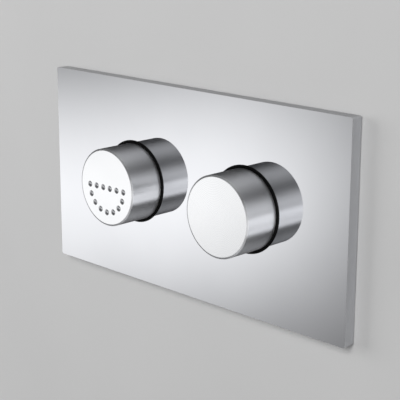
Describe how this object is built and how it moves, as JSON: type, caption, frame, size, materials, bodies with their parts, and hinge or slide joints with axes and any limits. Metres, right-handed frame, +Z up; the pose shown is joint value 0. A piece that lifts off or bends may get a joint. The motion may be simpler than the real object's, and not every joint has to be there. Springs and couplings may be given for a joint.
{
  "type": "flush button plate",
  "caption": "Rectangular chromed wall plate with raised round push buttons, spring return and rods that reach back to a cistern hidden in the wall.",
  "frame": {"origin": "centre of the plate in the wall plane, which is also the centre of the four wall screw slots", "axes": "+X to the right for someone facing the plate, +Y into the wall, +Z up; the buttons face -Y"},
  "size_m": [0.21, 0.0891, 0.11],
  "materials": {
    "polished_chrome": "mirror polish",
    "black_plastic": "gloss",
    "grey_frame": "moulded, fine texture",
    "white_acetal": "satin",
    "spring_steel": "drawn wire and strip",
    "zinc_screw": "bright zinc",
    "grey_nut": "moulded",
    "soft_rubber": "soft matt"
  },
  "bodies": {
    "plate": {"face_plate": "polished_chrome", "mounting_frame": "grey_frame", "plate_clips": "spring_steel", "housing_screws": "zinc_screw", "left_guide_housing": "black_plastic", "right_guide_housing": "black_plastic"},
    "left_button": {"left_button_cap": "polished_chrome", "left_plunger": "white_acetal", "left_cap_screw": "zinc_screw", "left_retaining_clip": "spring_steel", "left_return_spring": "spring_steel", "left_push_rod": "white_acetal", "left_lock_nut": "grey_nut", "left_rod_foot": "soft_rubber"},
    "right_button": {"right_button_cap": "polished_chrome", "right_plunger": "white_acetal", "right_cap_screw": "zinc_screw", "right_retaining_clip": "spring_steel", "right_return_spring": "spring_steel", "right_push_rod": "white_acetal", "right_lock_nut": "grey_nut", "right_rod_foot": "soft_rubber"}
  },
  "joints": [
    {"name": "left_button_press", "type": "slide", "parent": "plate", "child": "left_button", "axis": [0, 1, 0], "range_m": [0, 0.01], "stiffness_N_per_m": 800, "springref_m": -0.008, "deforming": ["left_return_spring"]},
    {"name": "right_button_press", "type": "slide", "parent": "plate", "child": "right_button", "axis": [0, 1, 0], "range_m": [0, 0.01], "stiffness_N_per_m": 800, "springref_m": -0.008, "deforming": ["right_return_spring"]}
  ]
}
